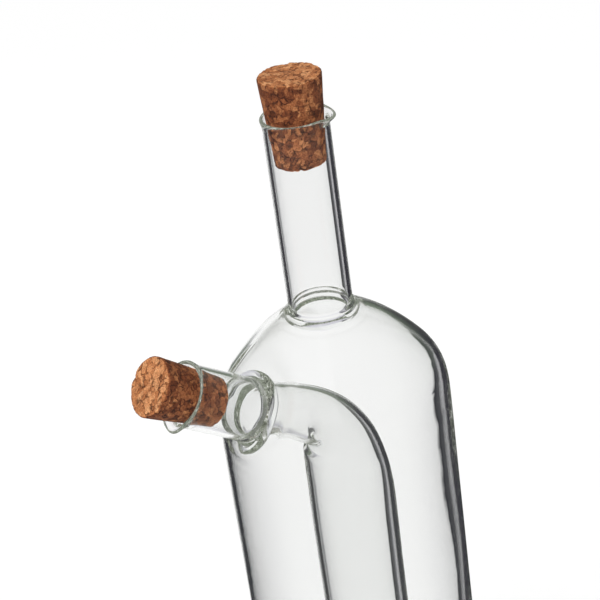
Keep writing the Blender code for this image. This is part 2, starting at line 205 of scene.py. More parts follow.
spoutUp = Vector((math.sin(spout["angle"]), 0, math.cos(spout["angle"])))
spoutSide = spoutOut.cross(spoutUp)


def ease(share):
    share = min(max(share, 0), 1)
    return share * share * (3 - 2 * share)


def nearness(value, centre, half):
    # 1 at the centre, down to 0 at half either side
    return 1 - ease(abs(value - centre) / half)


def nearAngle(angle, centre, half):
    return nearness((angle - centre + math.pi) % math.tau - math.pi, 0, half)


def spoutMatrix(reach):
    # from a piece made round +Z to its place on the spout's axis
    turn = Matrix((spoutUp, spoutSide, spoutOut)).transposed().to_4x4()
    return Matrix.Translation(spout["origin"] + spoutOut * reach) @ turn


class Pen:
    # draws a profile in the XZ plane: straight runs by extruding, arcs by spinning the last point
    def __init__(self, radius, height):
        self.bm = bmesh.new()
        self.last = self.bm.verts.new((radius, 0, height))

    def run(self, radius, height, steps=1):
        step = (Vector((radius, 0, height)) - self.last.co) / steps
        for _ in range(steps):
            made = bmesh.ops.extrude_vert_indiv(self.bm, verts=[self.last])
            self.last = made["verts"][0]
            self.last.co += step

    def turn(self, radius, height, degrees, steps):
        # about (radius, height); a positive angle goes from +X towards +Z
        made = bmesh.ops.spin(self.bm, geom=[self.last], cent=(radius, 0, height), axis=(0, -1, 0),
                              dvec=(0, 0, 0), angle=math.radians(degrees), steps=steps)
        self.last = [item for item in made["geom_last"] if isinstance(item, bmesh.types.BMVert)][0]

    def settle(self, radius, height, ways, steps):
        # a curve that leaves along the first way and arrives along the second
        end = Vector((radius, 0, height))
        reach = (end - self.last.co).length / 3
        points = geometry.interpolate_bezier(self.last.co, self.last.co + ways[0] * reach,
                                             end - ways[1] * reach, end, steps + 1)
        for point in points[1:]:
            self.run(point.x, point.z)

    def lathe(self, sides, weld=0.000004):
        bm = self.bm
        bmesh.ops.spin(bm, geom=bm.verts[:] + bm.edges[:], cent=(0, 0, 0), axis=(0, 0, 1),
                       dvec=(0, 0, 0), angle=math.tau, steps=sides, use_merge=True)
        bmesh.ops.remove_doubles(bm, verts=bm.verts, dist=weld)
        bmesh.ops.recalc_face_normals(bm, faces=bm.faces)
        return bm


def pieceFrom(bm, name, crease=40):
    mesh = bpy.data.meshes.new(name)
    bm.to_mesh(mesh)
    bm.free()
    mesh.shade_smooth()
    mesh.set_sharp_from_angle(angle=math.radians(crease))
    piece = bpy.data.objects.new(name, mesh)
    bpy.context.collection.objects.link(piece)
    return piece


def shoulderArcs():
    # the centres of the shoulder's tight arc and of the dome's wide one, and the angle where they meet
    tight = Vector((body["radius"] - body["easeInset"] - body["tightRadius"],
                    body["neckBase"] - body["tightDrop"]))
    top = Vector((body["beadRadius"], body["neckBase"]))
    meetings = geometry.intersect_sphere_sphere_2d(tight, body["domeRadius"] - body["tightRadius"],
                                                   top, body["domeRadius"])
    wide = min(meetings, key=lambda spot: spot.y)
    return tight, wide, math.degrees(math.atan2(tight.y - wide.y, tight.x - wide.x))


def domeAngle(centre, radius, height):
    return math.degrees(math.asin((height - centre.y) / radius))


def easeArc(inset):
    # where the straight wall ends, and where and how steeply the shoulder's arc takes over from it
    tight = shoulderArcs()[0]
    radius = body["tightRadius"] - inset
    angle = math.asin(body["easeHalf"] / body["tightRadius"])
    foot = Vector((body["radius"] - inset, tight.y - body["easeHalf"]))
    head = tight + Vector((math.cos(angle), math.sin(angle))) * radius
    return foot, head, math.degrees(angle), Vector((-math.sin(angle), 0, math.cos(angle)))


def drawBottle():
    # one line from axis to axis: the outside up to the rim of the neck, then the inside down to the base
    tight, wide, meet = shoulderArcs()
    steps = {**body["steps"], **neck["steps"]}
    sagStart = body["neckBase"] - body["sagDrop"] - body["sagHalf"]
    top = body["neckBase"] + neck["length"]
    flare = top - neck["flareHeight"]
    bore = neck["radius"] - neck["wall"]
    half = neck["wall"] / 2
    heelCentre = body["radius"] - body["heel"]
    pen = Pen(0, 0)
    pen.run(heelCentre, 0, steps["base"])
    pen.turn(heelCentre, body["heel"], 90, steps["heel"])
    pen.run(body["radius"], sagStart, steps["wall"])
    foot, head, lean, rise = easeArc(0)
    pen.run(*foot, steps["sag"])
    pen.settle(*head, (Vector((0, 0, 1)), rise), steps["ease"])
    pen.turn(tight.x, tight.y, meet - lean, steps["tight"])
    end = domeAngle(wide, body["domeRadius"], body["neckBase"] - body["seatDrop"])
    pen.turn(wide.x, wide.y, end - meet, steps["dome"])
    for radius, over, count in body["bead"]:
        pen.run(radius, body["neckBase"] + over, count)
    pen.run(neck["radius"], body["neckBase"] + body["beadEnd"], steps["foot"])
    pen.run(neck["radius"], flare, steps["tube"])
    bend = neck["flare"] * neck["flareBend"]
    pen.run(neck["radius"] + bend, (flare + top - half) / 2, steps["flare"])
    pen.run(neck["radius"] + neck["flare"], top - half, steps["flare"])
    pen.turn(neck["radius"] + neck["flare"] - half, top - half, 180, steps["rim"])
    pen.run(bore + bend, (flare + top - half) / 2, steps["flare"])
    pen.run(bore, flare, steps["flare"])
    pen.run(bore, body["neckBase"] + body["mouthTop"], steps["tube"])
    high, middle, low = [body["neckBase"] - drop for drop in body["mouthDrops"]]
    innerDome = body["domeRadius"] - body["wall"]
    start = domeAngle(wide, innerDome, low)
    domeFoot = wide.x + innerDome * math.cos(math.radians(start))
    pen.run(bore + body["mouthOpen"], high)
    pen.run((bore + domeFoot) / 2, middle)
    pen.run(domeFoot, low)
    pen.turn(wide.x, wide.y, meet - start, steps["dome"])
    foot, head, lean, rise = easeArc(body["wall"])
    pen.turn(tight.x, tight.y, lean - meet, steps["tight"])
    pen.settle(*foot, (-rise, Vector((0, 0, -1))), steps["ease"])
    pen.run(body["radius"] - body["wall"], sagStart, steps["sag"])
    innerHeel = body["heel"] - body["wall"]
    pen.run(body["radius"] - body["wall"], body["base"] + innerHeel, steps["wall"])
    pen.turn(heelCentre, body["base"] + innerHeel, -90, steps["innerHeel"])
    pen.run(0, body["base"], steps["base"])
    return pen.lathe(body["sides"])


def isInside(point):
    # whether a point of the turned bottle belongs to its inner face
    tight, wide, meet = shoulderArcs()
    spot = Vector((math.hypot(point.x, point.y), point.z))
    if spot.y < tight.y:
        depth = body["radius"] - spot.x
    elif math.degrees(math.atan2(spot.y - tight.y, spot.x - tight.x)) < meet:
        depth = body["tightRadius"] - (spot - tight).length
    else:
        depth = body["domeRadius"] - (spot - wide).length
    return depth > body["wall"] / 2


def shapeShoulder(bm, inner):
    # what the flame does to the turned shoulder where the side neck goes on
    for vert in bm.verts:
        if not body["sagFrom"] < vert.co.z < body["neckBase"] - body["sagMargin"]:
            continue
        flat = vert.co.xy.normalized()
        share = ease(abs(body["neckBase"] - body["sagDrop"] - vert.co.z) / body["sagHalf"])
        vert.co.xy -= flat * body["sagDepth"] * (1 - flat.x) / 2 * (1 - share)
        offset = vert.co - spout["origin"]
        reach = offset.dot(spoutOut)
        across = (offset - spoutOut * reach).length
        if abs(reach) < body["flatRadius"]:
            pull = body["flatLevel"] - (body["wall"] if vert[inner] else 0) - reach
            start, fade = body["flatRadius"], body["flatFade"]
            if pull > 0:
                start, fade = spout["sleeve"], body["outwardFade"]
            vert.co += spoutOut * pull * (1 - ease((across - start) / fade))


ripples = {
    "depth": 0.00010, "waveShare": 0.6, "lineShare": 0.12, "sink": 0.8,
    "waves": 1.4, "lines": 9, "upright": 26, "lineUpright": 0.12, "insideShift": 3.7,
    "from": 0.009, "fadeIn": 0.02, "margin": 0.006, "fadeOut": 0.01, "axisClear": 0.010,
}


def ripple(bm, inner):
    # the slight unevenness of a hand-finished wall, different inside and outside
    r = ripples
    depth, bottom, top = r["depth"], r["from"], body["neckBase"] - r["margin"]
    for vert in bm.verts:
        if vert.co.z < bottom or vert.co.z > top or vert.co.xy.length < r["axisClear"]:
            continue
        flat = vert.co.xy.normalized()
        shift = r["insideShift"] if vert[inner] else 0.0
        height = vert.co.z * r["upright"]
        fade = ease((vert.co.z - bottom) / r["fadeIn"]) * ease((top - vert.co.z) / r["fadeOut"])
        wave = noise.noise(Vector((flat.x * r["waves"] + shift, flat.y * r["waves"], height)))
        line = noise.noise(Vector((flat.x * r["lines"] + shift, flat.y * r["lines"],
                                   height * r["lineUpright"])))
        out = depth * wave * r["waveShare"] + depth * line * r["lineShare"] - depth * r["sink"]
        vert.co.xy += flat * out * fade


def pullLip(bm, matrix, settings, top):
    # one side of a rim drawn out and down for pouring, in the frame that matrix gives
    back = matrix.inverted()
    start = top - settings["flareHeight"]
    for vert in bm.verts:
        spot = back @ vert.co
        rise = ease((spot.z - start) / settings["flareHeight"])
        if rise == 0 or spot.xy.length > settings["lipWithin"]:
            continue
        angle = math.atan2(spot.y, spot.x)
        pull = rise * nearAngle(angle, settings["lipAngle"], settings["lipHalf"])
        spot.xy += spot.xy.normalized() * settings["lipReach"] * pull
        spot.z -= settings["lipDroop"] * pull
        vert.co = matrix @ spot


flask = {
    "offset": 0.0020, "radius": 0.01468, "wall": 0.0017, "lift": 0.0170, "branchHalf": 0.0077,
    "elbowEnd": 0.1110, "elbowReach": 0.0455, "elbowFall": 0.0170, "elbowTilt": math.radians(-19),
    "foldHeight": 0.1440, "foldRadius": 0.0018, "foldTurn": math.radians(60), "foldRidge": 0.0002,
    "foldTilt": math.radians(-34), "throatReach": 0.0090, "throatTilt": math.radians(12),
    "ridgeAt": 0.45, "ridgeHalf": 0.75, "branchRun": 0.25, "chamberFrom": 0.2,
    "rings": (28, 44, 16), "wallRings": 26, "bottomRings": 14,
    "points": {"outer": 240, "crest": 40, "hollow": 20, "floor": 100},
}


def evenly(points, count):
    # the same line with count + 1 points at even spacing
    lengths = [0]
    for first, second in zip(points, points[1:]):
        lengths.append(lengths[-1] + (second - first).length)
    result = []
    index = 0
    for step in range(count + 1):
        target = lengths[-1] * step / count
        while index < len(points) - 2 and lengths[index + 1] < target:
            index += 1
        share = (target - lengths[index]) / (lengths[index + 1] - lengths[index])
        result.append(points[index].lerp(points[index + 1], share))
    return result


def arcLine(centre, radius, start, end, steps):
    return [centre + Vector((math.cos(start + (end - start) * step / steps),
                             math.sin(start + (end - start) * step / steps))) * radius
            for step in range(steps + 1)]


def flaskLines():
    # the bend's outer line, and its inner one: the branch's floor, the fold, the straight wall
    f, points = flask, flask["points"]
    mouth = spout["origin"] - spoutOut * spout["depth"]
    top = (mouth + spoutUp * spout["sleeve"]).xz
    low = (mouth - spoutUp * spout["sleeve"]).xz
    right, left = f["offset"] + f["radius"], f["offset"] - f["radius"]
    leave = Vector((math.cos(f["elbowTilt"]), math.sin(f["elbowTilt"]))) * f["elbowReach"]
    outer = geometry.interpolate_bezier(top, top + leave, Vector((right, f["elbowEnd"] + f["elbowFall"])),
                                        Vector((right, f["elbowEnd"])), points["outer"])
    fold = Vector((left, f["foldHeight"]))
    crest = arcLine(fold, f["foldRadius"], f["foldTilt"] + math.pi / 2, -f["foldTurn"], points["crest"])
    back = f["foldRadius"] * math.cos(f["foldTurn"]) / (1 - math.cos(f["foldTurn"]))
    centre = fold + Vector((math.cos(f["foldTurn"]), -math.sin(f["foldTurn"]))) * (f["foldRadius"] + back)
    hollow = arcLine(centre, back, math.pi - f["foldTurn"], math.pi, points["hollow"])
    enter = Vector((math.cos(f["throatTilt"]), math.sin(f["throatTilt"]))) * f["throatReach"]
    meet = Vector((math.cos(f["foldTilt"]), math.sin(f["foldTilt"]))) * f["throatReach"]
    floor = geometry.interpolate_bezier(low, low + enter, crest[0] - meet, crest[0], points["floor"])
    return outer, floor, crest + hollow[1:], [hollow[-1], Vector((left, f["elbowEnd"]))]


def flaskRings(inset):
    # frames of the rings from the collar down to the bottom, each a unit circle's matrix
    f = flask
    outer, floor, fold, wall = flaskLines()
    counts = f["rings"]
    inner = evenly(floor, counts[0]) + evenly(fold, counts[1])[1:] + evenly(wall, counts[2])[1:]
    last = len(inner) - 1
    frames = []
    for index, (near, far) in enumerate(zip(inner, evenly(outer, last))):
        share = index / last
        if inset:
            # the glass gathers on the fold, as a ridge inside
            ridge = nearness(index, counts[0] + counts[1] * f["ridgeAt"], counts[1] * f["ridgeHalf"])
            near = near + (far - near).normalized() * f["foldRidge"] * ridge
        width = spout["sleeve"] + (f["branchHalf"] - spout["sleeve"]) * ease(share / f["branchRun"])
        width += (f["radius"] - width) * ease((share - f["chamberFrom"]) / (1 - f["chamberFrom"]))
        across = Vector((far.x - near.x, 0, far.y - near.y)) / 2
        middle = Vector(((near.x + far.x) / 2, 0, (near.y + far.y) / 2))
        frames.append(ringFrame(middle, across * (1 - inset / across.length), width - inset))
    bottom = f["lift"] + f["radius"]
    radius = f["radius"] - inset
    for step in range(1, f["wallRings"] + 1):
        height = f["elbowEnd"] + (bottom - f["elbowEnd"]) * step / f["wallRings"]
        frames.append(ringFrame(Vector((f["offset"], 0, height)), Vector((radius, 0, 0)), radius))
    for step in range(1, f["bottomRings"]):
        angle = math.pi / 2 * step / f["bottomRings"]
        height = bottom - radius * math.sin(angle)
        size = radius * math.cos(angle)
        frames.append(ringFrame(Vector((f["offset"], 0, height)), Vector((size, 0, 0)), size))
    return frames


def ringFrame(middle, across, width):
    out = across.cross(Vector((0, 1, 0))).normalized()
    turn = Matrix((across, Vector((0, width, 0)), out)).transposed().to_4x4()
    return Matrix.Translation(middle) @ turn


def spoutRings():
    # rings out along the spout's axis: sleeve, bead, neck, rim, and back down the bore to the throat
    half = neck["wall"] / 2
    bore = spout["radius"] - neck["wall"]
    top = spout["reach"]
    flare = top - neck["flareHeight"]
    bends = [(neck["flare"] * share, flare + rise) for share, rise in spout["flareBends"]]
    line = [(spout["sleeve"], height) for height in bead["sleeve"]] + bead["outside"]
    start, end = bead["neckFrom"], bead["boreTo"]
    count, rim = spout["tubeRings"], neck["steps"]["rim"]
    line += [(spout["radius"], start + (flare - start) * step / count) for step in range(1, count + 1)]
    line += [(spout["radius"] + out, height) for out, height in bends]
    centre = spout["radius"] + neck["flare"] - half
    for step in range(rim + 1):
        angle = math.pi * step / rim
        line.append((centre + half * math.cos(angle), top - half + half * math.sin(angle)))
    line += [(bore + out, height) for out, height in reversed(bends)]
    line += [(bore, flare + (end - flare) * step / count) for step in range(count + 1)]
    line += [(bore - closed, height) for closed, height in bead["inside"]]
    upper, middle, lower = bead["throatHeights"]
    line += [bead["throatEdge"], (spout["throat"], upper), (spout["throat"], middle)]
    line += [(spout["throat"] + bead["throatOpen"], lower)]
    return [spoutMatrix(reach) @ Matrix.Diagonal((radius, radius, 1, 1)) for radius, reach in line]


def sweep(frames, sides):
    # a tube through the frames: each ring is the last one's edges extruded and carried to its own frame
    bm = bmesh.new()
    made = bmesh.ops.create_circle(bm, cap_ends=False, radius=1, segments=sides, matrix=frames[0])
    edges = list({edge for vert in made["verts"] for edge in vert.link_edges})
    first = edges
    for before, after in zip(frames, frames[1:]):
        made = bmesh.ops.extrude_edge_only(bm, edges=edges)
        verts = [item for item in made["geom"] if isinstance(item, bmesh.types.BMVert)]
        edges = [edge for edge in made["geom"] if isinstance(edge, bmesh.types.BMEdge)]
        bmesh.ops.transform(bm, matrix=after @ before.inverted(), verts=verts)
    bmesh.ops.edgeloop_fill(bm, edges=first)
    bmesh.ops.edgeloop_fill(bm, edges=edges)
    bmesh.ops.recalc_face_normals(bm, faces=bm.faces)
    return bm


def combine(piece, tool, operation):
    # cuts or joins the tool and keeps the result as the piece's own mesh
    change = piece.modifiers.new(operation.lower(), "BOOLEAN")
    change.operation = operation
    change.solver = "EXACT"
    change.object = tool
    depsgraph = bpy.context.evaluated_depsgraph_get()
    mesh = bpy.data.meshes.new_from_object(piece.evaluated_get(depsgraph))
    piece.modifiers.clear()
    piece.data = mesh
    bpy.data.objects.remove(tool, do_unlink=True)


def beadShape(angle):
    # how much of the collar's bead there is at an angle, and how far it has drawn out into its tail
    along = (angle - bead["tailEnd"]) % math.tau
    before = math.tau - along
    if before < bead["rest"]:
        tip = 1 - ease(before / bead["tailTip"])
        wake = ease((before - bead["rest"] + bead["wake"]) / bead["wake"])
        return bead["least"] + (1 - bead["least"]) * max(tip, wake), tip
    return 1, 1 - ease((along - bead["tailLead"]) / bead["tailRun"])


def ringNoise(angle, scale, seed):
    return noise.noise(Vector((math.cos(angle) * scale, math.sin(angle) * scale, seed)))


def beadWave(bm):
    # the bead runs out into a drawn tail at the lower front, stays thin beyond it, and isn't quite round
    back = spoutMatrix(0).inverted()
    low, high = bead["band"]
    for vert in bm.verts:
        spot = back @ vert.co
        outside = spot.xy.length - spout["radius"]
        if outside < bead["outFrom"] or not low < spot.z < high:
            continue
        angle = math.atan2(spot.y, spot.x)
        share = outside / (bead["radius"] - spout["radius"])
        keep, tail = beadShape(angle)
        wave = ringNoise(angle, bead["waveScale"], bead["waveSeed"]) * bead["wave"]
        out = tail * bead["tailReach"] * share + (wave - bead["shrink"]) * share - outside * (1 - keep)
        spot.xy += spot.xy.normalized() * out
        if spot.z > bead["grooveFrom"]:
            spot.z -= tail * bead["groove"] * nearness(share, bead["grooveAt"], bead["grooveHalf"])
        spot.z += ringNoise(angle, bead["tiltScale"], bead["tiltSeed"]) * bead["tilt"] * share
        vert.co = spoutMatrix(0) @ spot


def buildGlass():
    bm = drawBottle()
    inner = bm.verts.layers.int.new("inner")
    for vert in bm.verts:
        vert[inner] = isInside(vert.co)
    shapeShoulder(bm, inner)
    ripple(bm, inner)
    bm.verts.layers.int.remove(inner)
    pullLip(bm, Matrix.Identity(4), neck, body["neckBase"] + neck["length"])
    bottle = pieceFrom(bm, "cruetGlass")
    cutter = bmesh.new()
    bmesh.ops.create_cone(cutter, cap_ends=True, segments=spout["sides"], radius1=spout["cutRadius"],
                          radius2=spout["cutRadius"], depth=spout["cutDepth"],
                          matrix=spoutMatrix(spout["cutAt"]))
    combine(bottle, pieceFrom(cutter, "throatCutter"), "DIFFERENCE")
    lining = flaskRings(flask["wall"])
    frames = flaskRings(0)[::-1] + spoutRings() + lining[1:]
    tube = sweep(frames, spout["sides"])
    pullLip(tube, spoutMatrix(0), {**neck, "lipAngle": spout["lipAngle"]}, spout["reach"])
    beadWave(tube)
    combine(bottle, pieceFrom(tube, "spoutTube"), "UNION")
    bottle.data.shade_smooth()
    bottle.data.set_sharp_from_angle(angle=math.radians(body["crease"]))
    return bottle


glass = buildGlass()
print("glass", len(glass.data.polygons), "faces")


corks = {
    "top": {"length": 0.0290, "bottom": 0.0081, "taper": 0.070, "seed": 2.0, "grain": 0.13},
    "side": {"length": 0.0252, "bottom": 0.0081, "taper": 0.070, "seed": 9.0, "grain": 0.57},
}
crumbs = {
    "clear": 0.0003, "lowBevel": 0.0004, "topBevel": 0.0005, "sides": 216, "crease": 38,
    "steps": {"end": 30, "bevel": 2, "side": 110, "top": 36},
    # how deep each goes, in metres
    "lump": 0.00012, "gap": 0.00012, "pit": 0.00060, "ragged": 0.0006, "chipped": 0.0006, "endShare": 0.9,
    # their sizes, in features per metre
    "lumps": 190, "granules": 640, "gaps": 330, "pits": 420, "bends": 500, "rags": 300, "chips": 800,
    # how dark the gaps are made: partly their own dark, partly painted shade in them
    "bend": 0.35, "gapEdge": 5, "pitEdge": 2.4, "pitless": 0.68, "draw": 7.31, "gapDarkAndShade": 0.45,
    "skin": 0.97, "edgeFrom": 0.8, "edgeShare": 0.2, "edgeHeight": 0.0012, "endHeight": 0.0002,
}


def corkMatrix(name):
    bore = (neck["radius"] if name == "top" else spout["radius"]) - neck["wall"]
    depth = (bore - crumbs["clear"] - corks[name]["bottom"]) / corks[name]["taper"]
    if name == "top":
        mouth = body["neckBase"] + neck["length"] - neck["flareHeight"]
        return Matrix.Translation((0, 0, mouth - depth))
    return spoutMatrix(spout["reach"] - neck["flareHeight"] - depth)


def level(spot):
    return 0.5 + 0.5 * noise.noise(spot)


def crumb(spot, seed):
    # how far the surface lies in at a point: lumps, gaps between the granules, and pits
    c = crumbs
    spot = spot + Vector((seed, seed * 0.7, -seed))
    bent = spot * c["bends"]
    twist = Vector((noise.noise(bent), noise.noise(bent + Vector((7, 0, 0))), 0)) * c["bend"]
    distances, points = noise.voronoi(spot * c["granules"] + twist)
    gap = max(0, 1 - (distances[1] - distances[0]) * c["gapEdge"]) * level(spot * c["gaps"])
    distances, points = noise.voronoi(spot * c["pits"] + twist)
    chosen = noise.cell(points[0] * c["draw"]) > c["pitless"]
    pit = max(0, 1 - distances[0] * c["pitEdge"]) if chosen else 0
    return level(spot * c["lumps"]), gap, pit


def buildCork(name):
    c, steps = crumbs, crumbs["steps"]
    settings = corks[name]
    length, seed = settings["length"], settings["seed"]
    top = settings["bottom"] + settings["taper"] * length
    pen = Pen(0, 0)
    pen.run(settings["bottom"] - c["lowBevel"], 0, steps["end"])
    pen.run(settings["bottom"], c["lowBevel"], steps["bevel"])
    pen.run(top, length - c["topBevel"], steps["side"])
    pen.run(top - c["topBevel"], length, steps["bevel"])
    pen.run(0, length, steps["top"])
    bm = pen.lathe(c["sides"])
    hollowDarkAndShade = bm.verts.layers.float.new("hollow")
    # marks the cut ends, which are painted lighter than the sides: partly the cut cork's own paler tone,
    # partly painted light falling on the ends from above and left
    paintedLitEnds = bm.verts.layers.float.new("cutEnd")
    for vert in bm.verts:
        lump, gap, pit = crumb(vert.co, seed)
        depth = c["lump"] * lump + c["gap"] * gap + c["pit"] * pit
        # the hollow layer darkens the gaps and pits: partly the cork's own dark pores and joints, partly
        # painted shade in these recesses
        vert[hollowDarkAndShade] = min(1, c["gapDarkAndShade"] * gap + pit)
        radius = settings["bottom"] + settings["taper"] * vert.co.z
        side = vert.co.xy.length / radius
        edge = ease((side - c["edgeFrom"]) / c["edgeShare"])
        low = min(vert.co.z, length - vert.co.z)
        vert[paintedLitEnds] = 1 if low < c["endHeight"] else 0
        if side > c["skin"]:
            vert.co.xy -= vert.co.xy.normalized() * depth
        if low < c["edgeHeight"]:
            inward = 1 if vert.co.z < length / 2 else -1
            ragged = max(0, noise.noise(vert.co * c["rags"] + Vector((seed, 0, 0)))) * edge
            chipped = max(0, noise.noise(vert.co * c["chips"] + Vector((0, seed, 0)))) * edge
            worn = (c["ragged"] * ragged + c["chipped"] * chipped) * (1 - low / c["edgeHeight"])
            vert.co.z += inward * (depth * c["endShare"] + worn)
    bmesh.ops.transform(bm, matrix=corkMatrix(name), verts=bm.verts)
    bmesh.ops.recalc_face_normals(bm, faces=bm.faces)
    return pieceFrom(bm, name + "CorkStopper", crease=c["crease"])


topCork = buildCork("top")
sideCork = buildCork("side")
print("corks", len(topCork.data.polygons), len(sideCork.data.polygons), "faces")


glassLook = {
    "bend": 1.45, "tint": (0.62, 0.74, 0.62), "tintDensity": 12,
    # each noise: features per metre, detail, roughness
    "waves": (60, 2), "waveBump": 0.02, "waveHeight": 0.001,
    # painted glow: the light caught in the wall is painted in as it comes out, an emission in streaks
    "caughtAt": 4.0, "paintedGlowStreaks": (460, 3, 0.6),
    "paintedGlowStops": [(0.36, (0.03, 0.032, 0.035)), (0.45, (0.17, 0.18, 0.14)), (0.53, (0.30, 0.315, 0.255)),
                    (0.60, (0.46, 0.47, 0.43)), (0.68, (0.95, 0.94, 0.92))],
}


def glassFinish():
    look = glassLook
    finish = Finish("clearGlass")
    finish.set(BaseColor=(1, 1, 1), Roughness=0.0, Metallic=0.0, TransmissionWeight=1.0)
    finish.shader.inputs["IOR"].default_value = look["bend"]
    spot = finish.place()
    wave = finish.noise(spot, *look["waves"])
    finish.set(Normal=finish.node("Bump", {}, {"Strength": look["waveBump"], "Distance": look["waveHeight"],
                                               "Height": wave}))
    depth = finish.node("VolumeAbsorption", {}, {"Color": look["tint"], "Density": look["tintDensity"]})
    feed(finish.tree, finish.output.inputs["Volume"], depth)
    # the renderer ends a ray at its fourth reflection, and would leave such glass black; there the glass is
    # given a painted glow in streaks instead
    caught, through = finish.rays("Glossy Depth", "Is Transmission Ray")
    caught = caught.join("COMPARE", caught, look["caughtAt"]) * (1 - through)
    paintedGlowStreaks = finish.ramp(finish.noise(spot, *look["paintedGlowStreaks"]), look["paintedGlowStops"])
    # painted light: the glass glows here, though it is no lamp
    finish.set(EmissionColor=finish.mix(caught, (0, 0, 0), paintedGlowStreaks), EmissionStrength=1.0)
    return finish.material


corkLook = {
    # each noise: features per metre, detail, roughness
    "fine": (2400, 4, 0.7), "middle": (900, 4, 0.6), "broad": (170, 3), "bends": (420, 3), "broken": (420, 3),
    "granules": 560, "bend": 0.0020,
    "granuleShare": 0.36, "middleShare": 0.32, "fineShare": 0.32,
    # the side ramp is darker and the cut-end ramp lighter: partly the cork's own tones, partly painted light
    # and shade for a lamp above and to the left
    "side": [(0.24, (0.072, 0.017, 0.006)), (0.42, (0.198, 0.057, 0.019)),
             (0.58, (0.335, 0.117, 0.042)), (0.76, (0.530, 0.232, 0.093))],
    "cutEnd": [(0.22, (0.235, 0.070, 0.021)), (0.38, (0.450, 0.170, 0.062)),
               (0.55, (0.625, 0.275, 0.116)), (0.78, (0.820, 0.450, 0.220))],
    "specks": [(0.34, (0.20, 0.15, 0.12)), (0.43, (0.90, 0.88, 0.86)), (0.66, (1.36, 1.32, 1.26))],
    "patches": [(0.35, (0.82, 0.76, 0.72)), (0.65, (1.10, 1.08, 1.04))],
    "cracks": [(0.0, (0.08, 0.05, 0.04)), (0.07, (0.40, 0.31, 0.27)), (0.15, (1, 1, 1))],
    "cracked": [(0.46, (0, 0, 0)), (0.58, (1, 1, 1))],
    # the pit colour: the cork's own dark pores, with painted shade in the hollows
    "speckShare": 0.85, "patchShare": 0.8, "crackShare": 0.9, "pitDarkAndShadeShare": 0.85, "pit": (0.045, 0.014, 0.006),
    "fineRelief": 0.45, "middleRelief": 0.45, "bump": 0.7, "bumpHeight": 0.0004, "roughness": 0.85,
}


def corkFinish(name, grain):
    look = corkLook
    finish = Finish(name)
    spot = finish.place(move=(grain, grain, grain))
    twist = finish.noise(spot, *look["bends"], output=1)
    bent = finish.node("VectorMath", {"operation": "MULTIPLY_ADD"},
                       {0: twist, 1: (look["bend"],) * 3, 2: spot})
    tones = finish.cells(bent, look["granules"], output=1)
    gaps = finish.cells(bent, look["granules"], "DISTANCE_TO_EDGE")
    fine = finish.noise(spot, *look["fine"])
    middle = finish.noise(bent, *look["middle"])
    broad = finish.noise(spot, *look["broad"])
    cutEnd = finish.node("Attribute", {"attribute_name": "cutEnd"}, output=2)
    hollow = finish.node("Attribute", {"attribute_name": "hollow"}, output=2)
    tone = finish.node("SeparateColor", {}, {"Color": tones})
    shade = tone * look["granuleShare"] + middle * look["middleShare"] + fine * look["fineShare"]
    # painted light: the cut ends get the lighter ramp, the sides the darker one
    colour = finish.mix(cutEnd, finish.ramp(shade, look["side"]), finish.ramp(shade, look["cutEnd"]))
    colour = finish.mix(look["speckShare"], colour, finish.ramp(fine, look["specks"]), "MULTIPLY")
    colour = finish.mix(look["patchShare"], colour, finish.ramp(broad, look["patches"]), "MULTIPLY")
    # cracks between the granules, in patches
    broken = finish.ramp(finish.noise(spot, *look["broken"]), look["cracked"])
    cracked = finish.mix(1.0, colour, finish.ramp(gaps, look["cracks"]), "MULTIPLY")
    colour = finish.mix(broken * look["crackShare"], colour, cracked)
    # painted shade in the hollows, on top of the dark of the cork's own pores and joints
    colour = finish.mix(hollow * look["pitDarkAndShadeShare"], colour, look["pit"])
    relief = fine * look["fineRelief"] + middle * look["middleRelief"] - hollow
    bump = finish.node("Bump", {}, {"Strength": look["bump"], "Distance": look["bumpHeight"],
                                    "Height": relief})
    finish.set(BaseColor=colour, Roughness=look["roughness"], Metallic=0.0, Normal=bump)
    return finish.material


glass.data.materials.clear()
glass.data.materials.append(glassFinish())
topCork.data.materials.append(corkFinish("corkTop", corks["top"]["grain"]))
sideCork.data.materials.append(corkFinish("corkSide", corks["side"]["grain"]))
print("finishes done")

glassNodes = ["outer_bottle", "neck_weld_ring", "top_neck", "side_collar", "side_neck", "inner_flask"]
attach(glass, "glass")
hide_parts(*glassNodes)
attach(topCork, "top_cork")
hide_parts("top_cork")
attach(sideCork, "side_cork")
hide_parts("side_cork")


view = {
    "azimuth": math.radians(-30.469), "elevation": math.radians(28.132), "roll": math.radians(-8.235),
    "focal": 1805.409, "distance": 0.585057, "target": Vector((0, 0, 0.192)), "pixel": (321.57, 310.295),
    "frame": 600, "sensor": 36.0, "clip": 0.01,
}


def addCamera():
    # the neck's foot falls on its pixel of the photograph's frame, at the fitted distance and turn
    turn, rise, roll = view["azimuth"], view["elevation"], view["roll"]
    back = Vector((math.sin(turn) * math.cos(rise), -math.cos(turn) * math.cos(rise), math.sin(rise)))
    right = Vector((math.cos(turn), math.sin(turn), 0))
    up = back.cross(right)
    across = right * math.cos(roll) + up * math.sin(roll)
    along = up * math.cos(roll) - right * math.sin(roll)
    middle = view["frame"] / 2
    left = (view["pixel"][0] - middle) / view["focal"] * view["distance"]
    down = (view["pixel"][1] - middle) / view["focal"] * view["distance"]
    place = view["target"] - (across * left - along * down - back * view["distance"])
    camera = bpy.data.objects.new("camera", bpy.data.cameras.new("camera"))
    camera.matrix_world = Matrix.Translation(place) @ Matrix((across, along, back)).transposed().to_4x4()
    camera.data.sensor_width = view["sensor"]
    camera.data.lens = view["focal"] * view["sensor"] / view["frame"]
    camera.data.clip_start = view["clip"]
    bpy.context.collection.objects.link(camera)
    bpy.context.scene.camera = camera
    return right, up, back


right, up, back = addCamera()
ahead = Vector((-back.x, -back.y, 0)).normalized()

